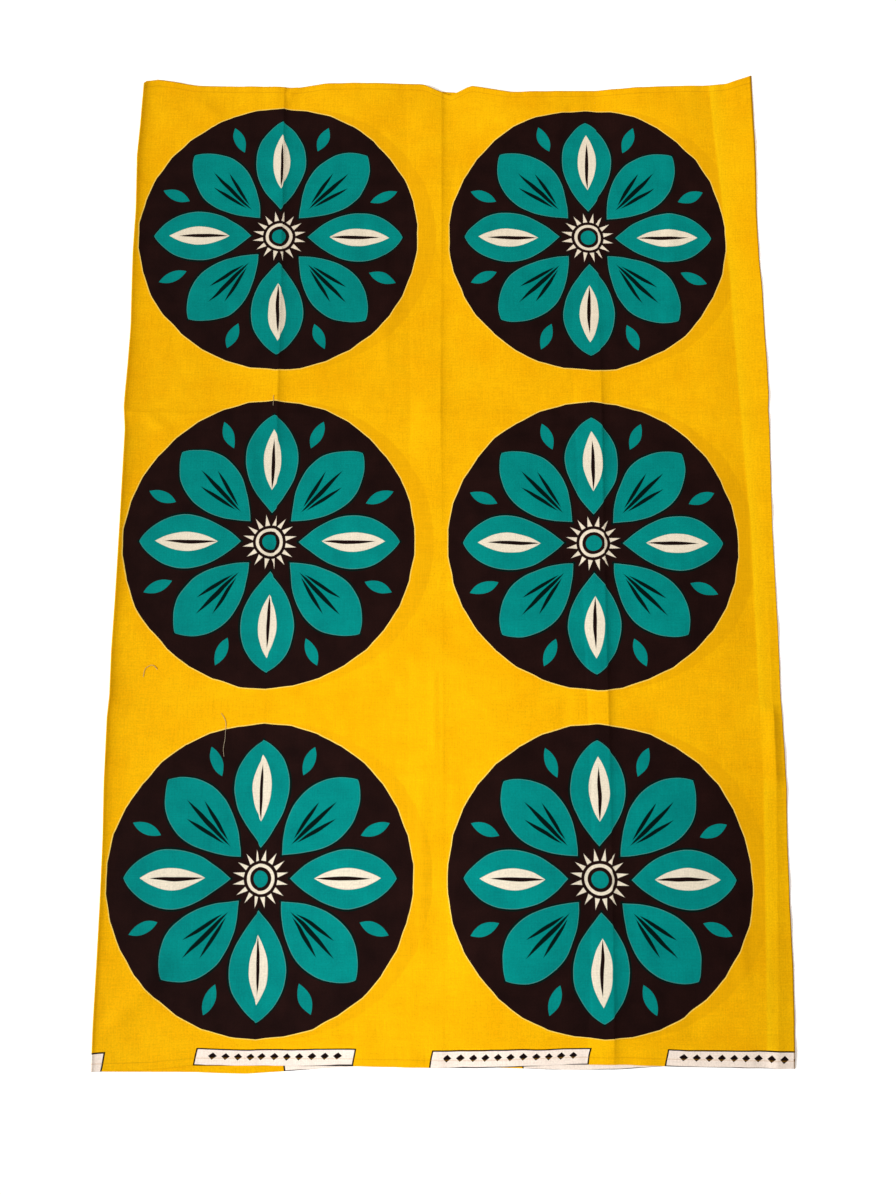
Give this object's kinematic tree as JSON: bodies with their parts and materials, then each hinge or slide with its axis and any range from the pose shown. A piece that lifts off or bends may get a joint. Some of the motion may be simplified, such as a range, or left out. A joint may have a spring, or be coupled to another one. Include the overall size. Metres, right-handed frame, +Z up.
{
  "type": "wrapper cloth",
  "caption": "Length of wax-print cotton cloth, folded in half and laid flat, with a rounded fold, packing creases and uneven selvedges.",
  "frame": {"origin": "on the surface that the cloth lies on, below the middle of its outline", "axes": "+Z up from the table; +Y from the foot selvedge with the boxed border to the head selvedge; +X from the fold to the cut ends"},
  "size_m": [0.7506, 1.17, 0.0067],
  "materials": {
    "wax_print_cotton": "plain-weave cotton, wax-type print on a yellow ground, dull with a faint sheen"
  },
  "bodies": {
    "root": {"upper_half": "wax_print_cotton", "lower_half": "wax_print_cotton"}
  },
  "joints": []
}
